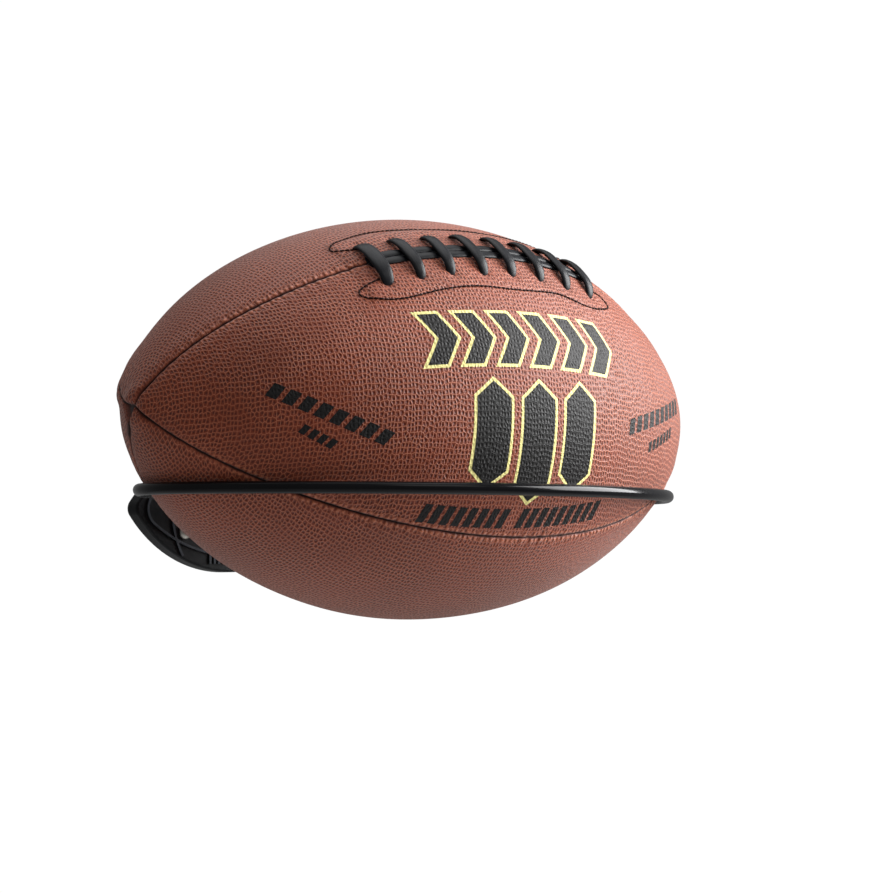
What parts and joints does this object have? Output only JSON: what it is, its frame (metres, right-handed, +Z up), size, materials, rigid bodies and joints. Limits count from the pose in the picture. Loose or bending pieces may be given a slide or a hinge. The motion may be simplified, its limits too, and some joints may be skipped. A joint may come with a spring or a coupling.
{
  "type": "wall-mounted football display holder",
  "caption": "Bent-rod oval hoop on a small ball-shaped wall plate, with a laced American football resting lengthwise in the hoop, parallel to the wall.",
  "frame": {"origin": "middle of the wall plate's back, on the wall, at the middle of the four screws", "axes": "+X along the wall and the ball's long way, +Y into the wall, +Z up"},
  "size_m": [0.286, 0.2526, 0.171],
  "materials": {
    "black_rod": "satin black powder coat",
    "weld_steel": "powder-coated weld",
    "bracket_steel": "zinc-plated sheet",
    "black_moulding": "satin moulded black",
    "zinc_screw": "bright zinc",
    "lace_vinyl": "satin black",
    "tongue_felt": "felt",
    "valve_rubber": "matt",
    "bladder_rubber": "matt",
    "facing_backing": "back of the skin",
    "ball_skin": "pebbled reddish brown",
    "lining_cloth": "woven cotton"
  },
  "bodies": {
    "holder": {"hoop": "black_rod", "leg_welds": "weld_steel", "mounting_bracket": "bracket_steel", "wall_cover": "black_moulding", "wall_screws": "zinc_screw"},
    "football": {"lace": "lace_vinyl", "lace_tongue": "tongue_felt", "valve": "valve_rubber", "bladder": "bladder_rubber", "lace_facing_front": "facing_backing", "lace_facing_rear": "facing_backing", "panel_upper_front": "ball_skin", "lining_upper_front": "lining_cloth", "panel_upper_rear": "ball_skin", "lining_upper_rear": "lining_cloth", "panel_lower_rear": "ball_skin", "lining_lower_rear": "lining_cloth", "panel_lower_front": "ball_skin", "lining_lower_front": "lining_cloth"}
  },
  "joints": [
    {"name": "football_lift", "type": "slide", "parent": "holder", "child": "football", "axis": [0, 0, 1], "range_m": [0, 0.1]}
  ]
}
